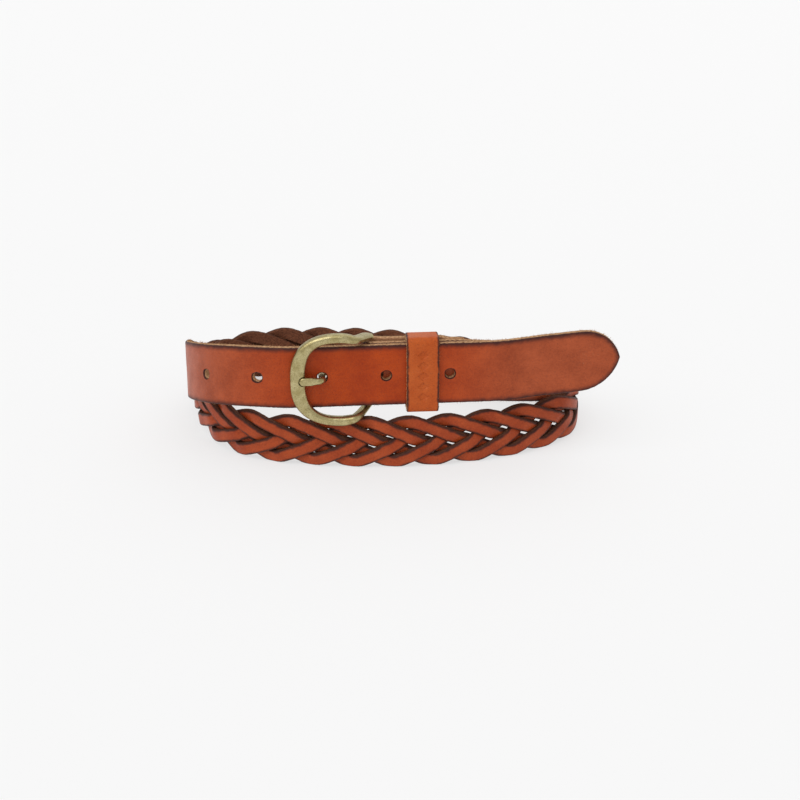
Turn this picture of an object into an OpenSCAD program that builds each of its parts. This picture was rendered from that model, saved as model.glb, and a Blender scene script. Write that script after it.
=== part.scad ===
// Braided leather belt, buckled, coiled in two turns and standing on its edge.
// X runs to the right along the front, Y to the back and Z up. The heel bar of the buckle is the vertical line
// through x = 0, y = 0 until the whole belt is shifted to its box centre at the end.

/* [Strap] */
// Width of the two solid straps
strap_w = 30; // [28:0.5:32]
// Thickness of the leather
leather_t = 3.3; // [2.8:0.1:3.6]
// Length of the solid tip strap, from the braid to its point
tip_strap_l = 241; // [235:1:260]
// Radius of the arcs that form the strap's point
point_r = 19; // [17:0.5:22]

/* [Holes] */
// Diameter of a punched hole
hole_d = 4.7; // [4:0.1:5]
// Distance between the punched holes
hole_pitch = 30; // [28:0.5:31]
// Distance from the heel bar to the hole that holds the prong
prong_reach = 24; // [23:0.5:25]

/* [Braid] */
// Width of one strand
strand_w = 5.9; // [5:0.1:5.9]
// Thickness of one strand
strand_t = 2.3; // [2:0.1:2.4]
// Sideways swing of a strand's centre line
strand_swing = 9.1; // [8.5:0.1:9.3]
// Distance of a strand from the braid's middle surface
strand_lift = 1.5; // [1.4:0.05:1.6]
// Number of tenths of a full strand wave between the two straps
braid_tenths = 78; // [76:2:80]

/* [Buckle] */
// Height of the frame
frame_h = 45.6; // [44:0.2:46]
// Width of the outer bar that carries the prong's tip
outer_bar_w = 7; // [6:0.2:7.4]
// Width of the top and bottom rails
rail_w = 4.4; // [4:0.1:4.6]
// Thickness of the frame from back to front
frame_t = 4.6; // [4:0.1:4.6]
// Diameter of the heel bar
heel_bar_d = 3.5; // [3:0.1:3.6]

/* [Keeper] */
// Width of the keeper along the strap
keeper_w = 15; // [13:0.5:15.5]
// Thickness of the keeper's leather
keeper_t = 2.3; // [2:0.1:2.3]
// Slack above and below the strap inside the keeper
keeper_slack = 1.4; // [1:0.1:1.4]

/* [Hidden] */

// Shift of the finished belt to the centre of its own box
box_centre = [13.56, 49.35];

// Heights of the belt's middle line: the upper front row, the raised inner back row and the rows on the floor
front_z = 44.6;
back_z = 17;
floor_z = 11.55;

// Depths of the layers at the buckle, measured from the heel bar's axis
chape_y = -(heel_bar_d / 2 + 0.15 + leather_t / 2);
strap_y = chape_y - leather_t - 0.1;
strap_front_y = strap_y - leather_t / 2;
strap_back_y = strap_y + leather_t / 2;

// The belt's route seen from above, from the heel bar to the tip: rows of [length, turn in degrees].
// The first turn of the coil lies inside the second, and the lower front row joins them.
inner_turn = [[43, 0], [38, 39], [36, 65], [42, 46], [110, 30], [43, 60], [29, 30], [28, 26], [42, 43]];
lower_row = [[106, 35]];
outer_turn = [[37, 25], [40, 65], [47, 46], [115, 30], [54, 60], [30, 30]];
front_corner = [[32, 26], [36, 43], [20, 21]];
front_row = [[86, 0]];
tip_row = [[66, 3]];

// One step along the route: [distance, heading, x, y] at the end of a row
function arc_end(p, row) =
    let (l = row[0], a = row[1], h = p[1])
    a == 0
        ? [p[0] + l, h, p[2] + l * cos(h), p[3] + l * sin(h)]
        : let (r = l / (a * PI / 180))
          [p[0] + l, h + a, p[2] + r * (sin(h + a) - sin(h)), p[3] - r * (cos(h + a) - cos(h))];

function route_ends(rows, p, i = 0) =
    i == len(rows) ? [p] : concat([p], route_ends(rows, arc_end(p, rows[i]), i + 1));

// The left end is as deep as brings the front row to its place in front of the buckle strap
trial = concat(inner_turn, lower_row, outer_turn, front_corner);
left_end_l = route_ends(trial, [0, 0, 0, chape_y])[len(trial)][3] - strap_y;
route = concat(inner_turn, lower_row, outer_turn, [[left_end_l, 0]], front_corner, front_row, tip_row);
ends = route_ends(route, [0, 0, 0, chape_y]);
route_l = ends[len(route)][0];
front_s = ends[len(route) - 2][0];
front_x = ends[len(route) - 2][2];
tip_s = ends[len(route) - 1][0];
tip_x = ends[len(route) - 1][2];

// [distance, heading, x, y] at any distance s along the route
function plan(s) =
    let (i = max([for (k = [0 : len(route) - 1]) if (ends[k][0] <= max(s, 0)) k]))
    let (l = route[i][0], d = s - ends[i][0])
    arc_end(ends[i], [d, route[i][1] * d / l]);

function ease(u) = let (v = min(max(u, 0), 1)) v * v * (3 - 2 * v);

// Height of the middle line: down from the buckle, along the floor, and up the left end to the front row
function height(s) =
    front_z
    - (front_z - back_z) * ease((s - 36) / 130)
    - (back_z - floor_z) * ease((s - 320) / 90)
    + (front_z - floor_z) * ease((s - left_rise_s) / 150)
    + tip_pitch * max(0, s - tip_s) * ease((s - tip_s) / 30);
left_rise_s = front_s - 162;
tip_pitch = 0.07;

// The lower front row leans back at its top edge, under the buckle
row_lean = 4.2;
function lean(s) = row_lean * (ease((s - 400) / 50) - ease((s - 520) / 50));

// A point of the belt: s along it, up across it, out towards its grain face
function belt_point(s, up, out) =
    let (p = plan(s), h = p[1], o = out - lean(s) * (up + floor_z) / (2 * floor_z))
    [p[2] + o * sin(h), p[3] - o * cos(h), max(0, height(s) + up)];

// A closed skin over a row of four-cornered rings
module ring_skin(rings) {
    n = len(rings);
    points = [for (r = rings) each r];
    sides = [for (i = [0 : n - 2]) for (j = [0 : 3]) let (a = 4 * i + j, b = 4 * i + (j + 1) % 4)
        each [[a, b, a + 4], [b, b + 4, a + 4]]];
    polyhedron(points, concat([[3, 2, 1], [3, 1, 0]], sides,
        [[4 * n - 4, 4 * n - 3, 4 * n - 2], [4 * n - 4, 4 * n - 2, 4 * n - 1]]));
}

// A flat strap along the route, with its half width as a function of s
module strap_skin(stations, half_w, t) {
    ring_skin([for (s = stations) let (w = half_w(s))
        [belt_point(s, -w, t / 2), belt_point(s, w, t / 2),
         belt_point(s, w, -t / 2), belt_point(s, -w, -t / 2)]]);
}

// ---- Tip strap: the curved stretch from the braid and the straight front stretch with its punched holes ----

braid_end_s = route_l - tip_strap_l;
strap_half = function (s) strap_w / 2;
function steps(a, b, n) = [for (i = [0 : n]) a + (b - a) * i / n];

module punched_hole(k) {
    s = front_s + (-prong_reach + hole_pitch * k) - front_x;
    p = plan(s);
    translate([p[2], p[3], height(s)])
        rotate([90, 0, p[1]])
            cylinder(d = hole_d, h = 3 * leather_t, center = true, $fn = 48);
}

module tip_strap() {
    color([0.68, 0.30, 0.13])
    difference() {
        union() {
            strap_skin(steps(braid_end_s, front_s, 24), strap_half, leather_t);
            translate([front_x, strap_front_y, front_z - strap_w / 2])
                cube([tip_x - front_x, leather_t, strap_w]);
        }
        for (k = [-2 : 2])
            punched_hole(k);
    }
}

// ---- Tip end: the free end past the keeper, with its rounded point ----

point_inset = point_r - strap_w / 2;
point_l = sqrt(point_r * point_r - point_inset * point_inset);
point_s = route_l - point_l;
tip_gap = 0.05;
tip_half = function (s)
    s <= point_s ? strap_w / 2 : max(0.8, sqrt(point_r * point_r - pow(s - point_s, 2)) - point_inset);
point_angle = asin(point_l / point_r);

module tip_end() {
    straight_steps = steps(tip_s + tip_gap, point_s, 12);
    point_steps = [for (i = [1 : 10]) point_s + point_r * sin(point_angle * i / 10)];
    color([0.66, 0.30, 0.16])
        strap_skin(concat(straight_steps, point_steps), tip_half, leather_t);
}

// ---- Braid: five strands, each over two and under two ----

braid_start_s = 100;
braid_l = braid_end_s - braid_start_s;
wave_l = braid_l / (braid_tenths / 10);
// Phases within half a wave at which a strand has a ring, close together where it passes from over to under
ring_phases = [
    0, 0.02, 0.045, 0.08, 0.12, 0.16, 0.2, 0.22, 0.235, 0.25, 0.265, 0.28, 0.3, 0.34, 0.38, 0.42, 0.455, 0.48
];
// Length over which the strands fan out to lie side by side where they join a strap
fan_l = 26;
// Phase at which the five strands lie evenly spaced across the belt
fan_phase = 0.05;
// How much the turn at each edge is rounded, from 0 to 1
edge_round = 0.95;
// Phase over which a strand changes sides at the middle of the belt and at its edges
middle_ramp = 0.025;
edge_ramp = 0.06;
// How far along the belt a strand's upper edge changes sides before its middle, at the slope given
roll_reach = 2;
roll_slope = 0.466;

function wave_phase(k, s) = (s - braid_start_s) / wave_l + k / 5 + fan_phase;
function swing(p) = asin(edge_round * cos(360 * p)) / asin(edge_round);
// 1 where the strand is over its neighbours, -1 where it is under them
function over_under(p) =
    let (q = p - floor(2 * p) / 2)
    q < 0.125 ? sin(90 * min(q / edge_ramp, 1))
    : q < 0.375 ? sin(90 * min(max((0.25 - q) / middle_ramp, -1), 1))
    : -sin(90 * min((0.5 - q) / edge_ramp, 1));
// Side-by-side place of a strand where its phase is p, from -2 at the bottom to 2 at the top
function side_place(p) = round((1 - 4 * abs(p - round(p))) * 2.5);

function fan(s) = ease(1 - min(s - braid_start_s, braid_end_s - s) / fan_l);
function end_phase(k, s) =
    wave_phase(k, s - braid_start_s < braid_end_s - s ? braid_start_s : braid_end_s);
function strand_up(k, s) =
    let (f = fan(s))
    strand_swing * swing(wave_phase(k, s)) * (1 - f) + side_place(end_phase(k, s)) * strap_w / 5 * f;
// Distance out of an edge of the strand: side is 1 at its upper edge, -1 at its lower edge and 0 in the middle
function strand_out(k, s, side) =
    let (slope = (strand_up(k, s + 1) - strand_up(k, s - 1)) / 2)
    let (ahead = side * roll_reach * slope / roll_slope)
    strand_lift * over_under(wave_phase(k, s + ahead)) * (1 - pow(fan(s), 2));
function strand_middle(k, s) = (strand_out(k, s, 1) + strand_out(k, s, -1)) / 2;
function strand_point(k, s) = belt_point(s, strand_up(k, s), strand_middle(k, s));

function strand_ring(k, s) =
    let (c = strand_point(k, s), h = plan(s)[1], n = [sin(h), -cos(h), 0])
    let (d = strand_point(k, s + 1) - strand_point(k, s - 1))
    let (b0 = cross(n, d), b = b0 / norm(b0), roll = strand_out(k, s, 1) - strand_middle(k, s))
    [for (q = [[-1, 1], [1, 1], [1, -1], [-1, -1]])
        let (v = c + b * q[0] * strand_w / 2 + n * (q[0] * roll + q[1] * strand_t / 2))
        [v[0], v[1], max(0, v[2])]];

function strand_stations(k) =
    let (first = floor(2 * (k / 5 + fan_phase)), last = ceil(2 * (braid_tenths / 10 + k / 5 + fan_phase)))
    concat([braid_start_s],
        [for (i = [first : last]) for (q = ring_phases)
            let (s = braid_start_s + (i / 2 + q - k / 5 - fan_phase) * wave_l)
            if (s > braid_start_s + 1 && s < braid_end_s - 1) s],
        [braid_end_s]);

module braid_strand(k) {
    color([0.62, 0.28, 0.16])
        ring_skin([for (s = strand_stations(k)) strand_ring(k, s)]);
}

// ---- Buckle strap: the straight run, the fold round the heel bar with the prong's slot, and the curved run ----

fold_inner_r = heel_bar_d / 2 + 0.15;
fold_outer_r = fold_inner_r + leather_t;
pocket_y = 1.3;
pocket_from_x = 8;
pocket_to_x = 32;
fold_end_x = 43;
closed_x = 37;
slot_w = 4.8;
slot_to_x = 5;
stitch_rows = [10.5, 39.5];
stitch_pitch = 6;
thread_r = 0.4;
needle_r = 0.45;
thread_inset = 0.45;

module fold_profile() {
    front_in = -fold_inner_r;
    difference() {
        circle(r = fold_outer_r, $fn = 64);
        circle(r = fold_inner_r, $fn = 64);
        translate([0, -10])
            square([20, 20]);
    }
    polygon([
        [0, -fold_outer_r], [fold_end_x, -fold_outer_r], [fold_end_x, front_in], [0, front_in]
    ]);
    polygon([
        [0, fold_inner_r], [2, fold_inner_r], [pocket_from_x, pocket_y], [pocket_to_x, pocket_y],
        [closed_x, front_in + 0.05], [fold_end_x, front_in + 0.05], [fold_end_x, front_in + 1.6],
        [closed_x + 1, front_in + leather_t], [pocket_to_x + 1, pocket_y + leather_t],
        [pocket_from_x, pocket_y + leather_t], [2, fold_outer_r], [0, fold_outer_r]
    ]);
}

// Outer face of the folded-back layer at a stitch row
function fold_back_y(x) = x < pocket_to_x ? pocket_y + leather_t : -fold_inner_r + 2.9;

// Thread of one row: a run on each face and a leg through each needle hole
module thread_row(x, r) {
    for (y = [-fold_outer_r + thread_inset, fold_back_y(x) - thread_inset])
        translate([x, y, front_z - 2 * stitch_pitch])
            cylinder(r = r, h = 4 * stitch_pitch, $fn = 16);
    for (i = [-2 : 2])
        translate([x, fold_back_y(x) - thread_inset, front_z + i * stitch_pitch])
            rotate([90, 0, 0])
                cylinder(r = r, h = fold_back_y(x) + fold_outer_r - 2 * thread_inset, $fn = 16);
}

module buckle_strap() {
    color([0.64, 0.29, 0.14])
    difference() {
        union() {
            translate([0, 0, front_z - strap_w / 2])
                linear_extrude(strap_w)
                    fold_profile();
            strap_skin(steps(fold_end_x, braid_start_s, 14), strap_half, leather_t);
        }
        translate([-10, -10, front_z - slot_w / 2])
            cube([10 + slot_to_x, 20, slot_w]);
        for (x = stitch_rows)
            thread_row(x, needle_r);
    }
}

module fold_stitches() {
    color([0.45, 0.25, 0.14])
    for (x = stitch_rows)
        thread_row(x, thread_r);
}

// ---- Buckle frame: a horseshoe whose rails drop back to the heel bar ----

heel_half = 16.4;
rail_half = frame_h / 2 - rail_w / 2;
crown_x = -15;
outer_bar_x = -35.5;
frame_front_y = -12.6;
outer_bar_y = -11.2;
squareness = 2.6;
heel_end_w = 2.4;
notch_r = 2.4;
notch_depth = 1.9;
notch_x = -32.9;

// Half of the bar's centre line, from the heel bar (t = 0) to the middle of the outer bar (t = 1)
function half_line(t) =
    t < 0.35
        ? let (x = crown_x * t / 0.35, u = 1 - t / 0.35)
          [x, rail_half - (rail_half - heel_half) * pow(u, 1.5)]
        : let (a = 90 * (t - 0.35) / 0.65)
          [crown_x + (outer_bar_x - crown_x) * pow(sin(a), 2 / squareness), rail_half * pow(cos(a), 2 / squareness)];
function line_depth(x) =
    x > -10
        ? frame_front_y * ease(-x / 10)
        : frame_front_y + (outer_bar_y - frame_front_y) * ease((x + 10) / (outer_bar_x + 10));
function bar_w(t) =
    t < 0.35
        ? heel_end_w + (rail_w - heel_end_w) * ease(t / 0.35)
        : rail_w + (outer_bar_w - rail_w) * ease((t - 0.45) / 0.5);

function line_point(u) =
    let (t = 1 - abs(u), p = half_line(min(t, 1)))
    [p[0], line_depth(p[0]), sign(u) * p[1]];

// Section of the bar: flat back, rounded crown
section = [[-0.5, -0.5], [-0.5, 0.05], [-0.36, 0.34], [-0.15, 0.5], [0.15, 0.5], [0.36, 0.34], [0.5, 0.05], [0.5, -0.5]];

module frame_ring() {
    stations = [for (i = [-24 : 24]) i / 24];
    m = len(section);
    rings = [for (u = stations)
        let (c = line_point(u), d = line_point(min(1, u + 0.02)) - line_point(max(-1, u - 0.02)))
        let (n0 = cross([0, -1, 0], d), n = n0 / norm(n0), o0 = cross(d, n), o = -o0 / norm(o0))
        let (side = n * bar_w(1 - abs(u)), front = o[1] < 0 ? o : -o)
        [for (q = section) c + side * q[0] + front * q[1] * frame_t]];
    points = [for (r = rings) each r];
    k = len(stations);
    sides = [for (i = [0 : k - 2]) for (j = [0 : m - 1]) let (a = m * i + j, b = m * i + (j + 1) % m)
        each [[a, b, a + m], [b, b + m, a + m]]];
    first = [for (j = [1 : m - 2]) [0, j + 1, j]];
    last = [for (j = [1 : m - 2]) let (z = m * (k - 1)) [z, z + j, z + j + 1]];
    polyhedron(points, concat(first, sides, last));
}

module buckle_frame() {
    color([0.62, 0.58, 0.40])
    translate([0, 0, front_z])
    difference() {
        union() {
            frame_ring();
            cylinder(d = heel_bar_d, h = 2 * heel_half, center = true, $fn = 48);
        }
        translate([notch_x, outer_bar_y - frame_t / 2 + notch_depth, 0])
            rotate([90, 0, 0]) {
                cylinder(r = notch_r, h = frame_t, $fn = 48);
                translate([0, -notch_r, 0])
                    cube([outer_bar_w, 2 * notch_r, frame_t]);
            }
    }
}

// ---- Prong: an eye on the heel bar, a shank behind the strap, a leg through the hole and a tip in the notch ----

prong_w = 4;
eye_wall = 1.5;
eye_play = 0.06;
shank_t = 2.6;
shank_y = -1.6;
leg_r = 1.6;
prong_tip_x = -34.7;
prong_tip_t = 2.5;
prong_tip_y = outer_bar_y - frame_t / 2 + notch_depth - 0.1 - prong_tip_t / 2;

module prong() {
    color([0.70, 0.66, 0.48])
    translate([0, 0, front_z])
    difference() {
        union() {
            cylinder(r = heel_bar_d / 2 + eye_play + eye_wall, h = prong_w, center = true, $fn = 48);
            translate([-prong_reach - leg_r, shank_y - shank_t / 2, -leg_r])
                cube([prong_reach + leg_r, shank_t, 2 * leg_r]);
            translate([-prong_reach, shank_y, 0])
                rotate([90, 0, 0])
                    cylinder(r = leg_r, h = shank_y - prong_tip_y, $fn = 48);
            translate([prong_tip_x + prong_w / 2, prong_tip_y, 0]) {
                translate([0, -prong_tip_t / 2, -prong_w / 2])
                    cube([-prong_reach + leg_r - prong_tip_x - prong_w / 2, prong_tip_t, prong_w]);
                rotate([90, 0, 0])
                    cylinder(d = prong_w, h = prong_tip_t, center = true, $fn = 48);
            }
        }
        cylinder(r = heel_bar_d / 2 + eye_play, h = 2 * prong_w, center = true, $fn = 48);
    }
}

// ---- Keeper: a leather loop round both straps, its back run inside the fold, closed by a staple ----

keeper_x = 15.5;
keeper_gap = 0.25;
loop_front_y = strap_front_y - keeper_gap;
loop_back_y = -fold_inner_r + 0.15;
loop_half = strap_w / 2 + keeper_slack;
staple_r = 0.33;
staple_half = 3.5;
seam_w = 0.3;

// A rectangle with round corners, centred in its depth range
module round_rect(y0, y1, half, r) {
    for (y = [y0 + r, y1 - r])
        for (z = [-half + r, half - r])
            translate([y, z])
                circle(r = r, $fn = 48);
    translate([y0 + r, -half])
        square([y1 - y0 - 2 * r, 2 * half]);
    translate([y0, -half + r])
        square([y1 - y0, 2 * (half - r)]);
}

module keeper() {
    color([0.70, 0.31, 0.13])
    difference() {
        translate([keeper_x, 0, front_z])
            rotate([90, 0, 90])
                linear_extrude(keeper_w)
                    difference() {
                        round_rect(loop_front_y - keeper_t, loop_back_y + keeper_t, loop_half + keeper_t, 2.8);
                        round_rect(loop_front_y, loop_back_y, loop_half, 0.7);
                        translate([loop_back_y - 1, -seam_w / 2])
                            square([keeper_t + 2, seam_w]);
                    }
        staple_legs(staple_r + 0.03);
    }
}

module staple_legs(r) {
    for (z = [-staple_half, staple_half])
        translate([keeper_x + keeper_w / 2, loop_back_y + keeper_t + staple_r, front_z + z])
            rotate([90, 0, 0])
                cylinder(r = r, h = 1.8, $fn = 24);
}

module keeper_staple() {
    color([0.55, 0.52, 0.42])
    union() {
        staple_legs(staple_r);
        translate([keeper_x + keeper_w / 2, loop_back_y + keeper_t + staple_r, front_z - staple_half])
            cylinder(r = staple_r, h = 2 * staple_half, $fn = 24);
    }
}

module placed() {
    translate([-box_centre[0], -box_centre[1], 0])
        children();
}

placed() tip_strap();
placed() tip_end();
placed() braid_strand(0);  // braid_strand_1
placed() braid_strand(1);  // braid_strand_2
placed() braid_strand(2);  // braid_strand_3
placed() braid_strand(3);  // braid_strand_4
placed() braid_strand(4);  // braid_strand_5
placed() buckle_strap();
placed() fold_stitches();
placed() buckle_frame();
placed() prong();
placed() keeper();
placed() keeper_staple();
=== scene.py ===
# Looks of a braided leather belt, buckled, coiled in two turns and standing on its edge.
import math
import random
from bisect import bisect_right
from functools import lru_cache

import bmesh
import bpy
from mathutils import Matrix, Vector, noise


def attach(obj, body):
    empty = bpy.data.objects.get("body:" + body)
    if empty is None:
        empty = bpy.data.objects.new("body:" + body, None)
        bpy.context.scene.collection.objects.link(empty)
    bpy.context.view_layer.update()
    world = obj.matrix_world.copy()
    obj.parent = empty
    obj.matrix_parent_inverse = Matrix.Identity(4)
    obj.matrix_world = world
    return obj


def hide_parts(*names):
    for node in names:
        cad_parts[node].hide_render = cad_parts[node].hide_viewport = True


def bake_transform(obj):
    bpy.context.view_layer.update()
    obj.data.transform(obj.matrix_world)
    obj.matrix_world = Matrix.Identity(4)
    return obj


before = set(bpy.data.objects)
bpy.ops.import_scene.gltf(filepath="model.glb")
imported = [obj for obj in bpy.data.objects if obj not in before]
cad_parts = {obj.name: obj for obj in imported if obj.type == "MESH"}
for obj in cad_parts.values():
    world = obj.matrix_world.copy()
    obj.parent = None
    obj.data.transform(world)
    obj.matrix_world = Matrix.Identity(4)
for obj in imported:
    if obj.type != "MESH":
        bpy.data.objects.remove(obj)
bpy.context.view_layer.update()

bpy.ops.object.select_all(action="DESELECT")

# ---- Table, camera and light ----
# The belt stands on a wide sheet of white paper, and the air round it is evenly bright.
# A broad soft light stands in front on the left, and a weaker one behind on the right.
scene = bpy.context.scene
scene.view_settings.view_transform = "Standard"

CAMERA_DISTANCE, TABLE_SIDE, TABLE_DROP = 0.770, 14, 0.0002
aim = Vector((0.00144, -0.04935, 0.032))
look = Vector((0.0805, 0.9204, -0.3827)).normalized()
camera_data = bpy.data.cameras.new("studio_camera")
camera_data.lens = 72.95
camera_data.sensor_width = 36
camera_data.shift_x, camera_data.shift_y = -0.005, -0.00875
camera_data.clip_start = 0.01
camera = bpy.data.objects.new("studio_camera", camera_data)
camera.location = aim - look * CAMERA_DISTANCE
camera.rotation_euler = look.to_track_quat("-Z", "Y").to_euler()
scene.collection.objects.link(camera)
scene.camera = camera


def new_material(name):
    material = bpy.data.materials.new(name)
    material.use_nodes = True
    return material, material.node_tree, material.node_tree.nodes["Principled BSDF"]


def paper_material(name, grey, glow):
    """White paper that is also lit from below, so that shadows on it stay faint."""
    material, _, shader = new_material(name)
    shader.inputs["Base Color"].default_value = (grey, grey, grey, 1)
    shader.inputs["Emission Color"].default_value = (1, 1, 1, 1)
    shader.inputs["Emission Strength"].default_value = glow
    shader.inputs["Roughness"].default_value = 0.7
    shader.inputs["Specular IOR Level"].default_value = 0.15
    return material


bpy.ops.mesh.primitive_plane_add(size=TABLE_SIDE, location=(0, 0, -TABLE_DROP))
table = bpy.context.object
table.name = "table_top"
table.data.materials.append(paper_material("white_paper", 0.30, 0.612))

world = bpy.data.worlds.new("studio_air")
world.use_nodes = True
world.node_tree.nodes["Background"].inputs["Color"].default_value = (1.0, 1.0, 1.0, 1)
world.node_tree.nodes["Background"].inputs["Strength"].default_value = 0.72
scene.world = world


def soft_light(name, place, strength, spread):
    """A far, broad light, so that the whole table is lit alike."""
    light = bpy.data.lights.new(name, "SUN")
    light.energy = strength
    light.angle = math.radians(spread)
    lamp = bpy.data.objects.new(name, light)
    lamp.rotation_euler = (-Vector(place)).to_track_quat("-Z", "Y").to_euler()
    scene.collection.objects.link(lamp)


soft_light("key_light", (-0.62, -0.55, 1.0), 1.05, 50)
soft_light("back_light", (0.35, 0.75, 0.9), 0.35, 60)

# ---- Tip strap ----
# One length of vegetable-tanned leather cut to a point, its grain side dyed tan and its edges burnished dark.
# Five holes are punched in it, and its cut edges stay rough and fibrous. Past the keeper its free end can bend.
# Lengths of the belt's parts are in millimetres until a piece is laid along the belt's route.
STRAP_W, LEATHER_T, TIP_STRAP_L, POINT_R = 30.0, 3.3, 241.0, 19.0
HEEL_D, FOLD_GAP, STRAP_GAP = 3.5, 0.15, 0.1
FRONT_Z, BACK_Z, FLOOR_Z = 44.6, 17.0, 11.55
BOX_CENTRE = (13.56, 49.35)
CHAPE_Y = -(HEEL_D / 2 + FOLD_GAP + LEATHER_T / 2)
STRAP_Y = CHAPE_Y - LEATHER_T - STRAP_GAP
# The middle line drops twice along the coil, rises again at the left end and climbs towards the point.
# Where the lower row lies in front it leans out at its foot.
FIRST_DROP_S, FIRST_DROP_L = 36, 130
SECOND_DROP_S, SECOND_DROP_L = 320, 90
RISE_BEFORE, RISE_L = 162, 150
TIP_CLIMB, TIP_CLIMB_L = 0.07, 30
ROW_LEAN, LEAN_S, UPRIGHT_S, LEAN_L = 4.2, 400, 520, 50

# Rows of the route: how long each is and how far it turns, in degrees
inner_turn = [(43, 0), (38, 39), (36, 65), (42, 46), (110, 30), (43, 60), (29, 30), (28, 26), (42, 43)]
lower_row = [(106, 35)]
outer_turn = [(37, 25), (40, 65), (47, 46), (115, 30), (54, 60), (30, 30)]
front_corner = [(32, 26), (36, 43), (20, 21)]


def arc_end(p, length, turn):
    """The end of a row that starts at p; a point is its length along, its heading and its place."""
    s, h, x, y = p
    if turn == 0:
        return (s + length, h, x + length * math.cos(h), y + length * math.sin(h))
    r = length / math.radians(turn)
    to = h + math.radians(turn)
    return (s + length, to, x + r * (math.sin(to) - math.sin(h)), y - r * (math.cos(to) - math.cos(h)))


def row_ends(rows, start):
    ends = [start]
    for length, turn in rows:
        ends.append(arc_end(ends[-1], length, turn))
    return ends


def point_on(rows, ends, s):
    i = max(j for j in range(len(rows)) if ends[j][0] <= s)
    d = s - ends[i][0]
    return arc_end(ends[i], d, rows[i][1] * d / rows[i][0])


at_buckle = (0.0, 0.0, 0.0, CHAPE_Y)
left_end_l = row_ends(inner_turn + lower_row + outer_turn + front_corner, at_buckle)[-1][3] - STRAP_Y
route = inner_turn + lower_row + outer_turn + [(left_end_l, 0)] + front_corner + [(86, 0), (66, 3)]
ends = row_ends(route, at_buckle)
starts = [p[0] for p in ends[:-1]]
route_l, front_s, tip_s = ends[-1][0], ends[-3][0], ends[-2][0]
front_x = ends[-3][2]
left_rise_s = front_s - RISE_BEFORE


def ease(u):
    v = min(max(u, 0.0), 1.0)
    return v * v * (3 - 2 * v)


@lru_cache(maxsize=None)
def plan(s):
    i = min(max(bisect_right(starts, s) - 1, 0), len(route) - 1)
    length, turn = route[i]
    d = s - ends[i][0]
    x_y = arc_end(ends[i], d, turn * d / length)
    height = (FRONT_Z - (FRONT_Z - BACK_Z) * ease((s - FIRST_DROP_S) / FIRST_DROP_L)
              - (BACK_Z - FLOOR_Z) * ease((s - SECOND_DROP_S) / SECOND_DROP_L)
              + (FRONT_Z - FLOOR_Z) * ease((s - left_rise_s) / RISE_L)
              + TIP_CLIMB * max(0, s - tip_s) * ease((s - tip_s) / TIP_CLIMB_L))
    lean = ROW_LEAN * (ease((s - LEAN_S) / LEAN_L) - ease((s - UPRIGHT_S) / LEAN_L))
    return x_y[1], x_y[2], x_y[3], height, lean


def belt_point(s, up, out):
    """A point of the belt: s along it, then up from its middle line and out of its grain side."""
    h, x, y, height, lean = plan(round(s, 3))
    o = out - lean * (up + FLOOR_Z) / (2 * FLOOR_Z)
    return Vector((x + o * math.sin(h), y - o * math.cos(h), max(0.0, height + up)))


def to_row_frame(p):
    return Vector((p[0] - BOX_CENTRE[0], p[1] - BOX_CENTRE[1], p[2])) / 1000


def lay(piece, place):
    """Stores where each point lay in the flat leather, then moves it to its place on the belt."""
    mesh = piece.data
    flat = mesh.attributes.new("flat", "FLOAT_VECTOR", "POINT")
    for v in mesh.vertices:
        flat.data[v.index].vector = v.co
    for v in mesh.vertices:
        v.co = to_row_frame(place(v.co))
    mesh.update()


def only(piece):
    bpy.ops.object.select_all(action="DESELECT")
    piece.select_set(True)
    bpy.context.view_layer.objects.active = piece


def apply_modifiers(piece):
    only(piece)
    for modifier in list(piece.modifiers):
        bpy.ops.object.modifier_apply(modifier=modifier.name)


LYING = (math.pi / 2, 0, 0)


def cylinder(vertices, radius, depth, **where):
    bpy.ops.mesh.primitive_cylinder_add(vertices=vertices, radius=radius, depth=depth, **where)
    piece = bpy.context.object
    bpy.ops.object.transform_apply(location=True, rotation=True, scale=True)
    return piece


def combine(piece, other, how):
    """Cuts the other shape out of the piece or casts it on, then clears it away."""
    joined = piece.modifiers.new("joined", "BOOLEAN")
    joined.operation, joined.object, joined.solver = how, other, "EXACT"
    apply_modifiers(piece)
    bpy.data.objects.remove(other)


def bevel(piece, width):
    rounding = piece.modifiers.new("rounding", "BEVEL")
    rounding.width, rounding.segments, rounding.limit_method = width, 3, "ANGLE"
    apply_modifiers(piece)


# Rows of points across a strap, by their distance from its edge
EDGE_ROWS = [0, 0.12, 0.35, 0.7, 1.1, 1.7, 2.6, 4, 6, 8.5, 11.5, 15]


def flat_blank(name, columns, depths, half_at, thickness):
    """Leather lying flat: X runs along it, Z across it and its grain side faces -Y.
    depths are distances from the edge to the middle, in the scale of the widest place."""
    rows = [-(depths[-1] - d) for d in depths] + [depths[-1] - d for d in reversed(depths[:-1])]
    bpy.ops.object.select_all(action="DESELECT")
    bpy.ops.mesh.primitive_grid_add(x_subdivisions=len(columns) - 1, y_subdivisions=len(rows) - 1, size=2,
                                    rotation=LYING)
    piece = bpy.context.object
    piece.name = piece.data.name = name
    bpy.ops.object.transform_apply(location=True, rotation=True, scale=True)
    for v in piece.data.vertices:
        i = round((v.co.x + 1) / 2 * (len(columns) - 1))
        j = round((v.co.z + 1) / 2 * (len(rows) - 1))
        v.co = (columns[i], 0, rows[j] / depths[-1] * half_at(columns[i]))
    wall = piece.modifiers.new("wall", "SOLIDIFY")
    wall.thickness, wall.offset = thickness, 0
    apply_modifiers(piece)
    return piece


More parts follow.
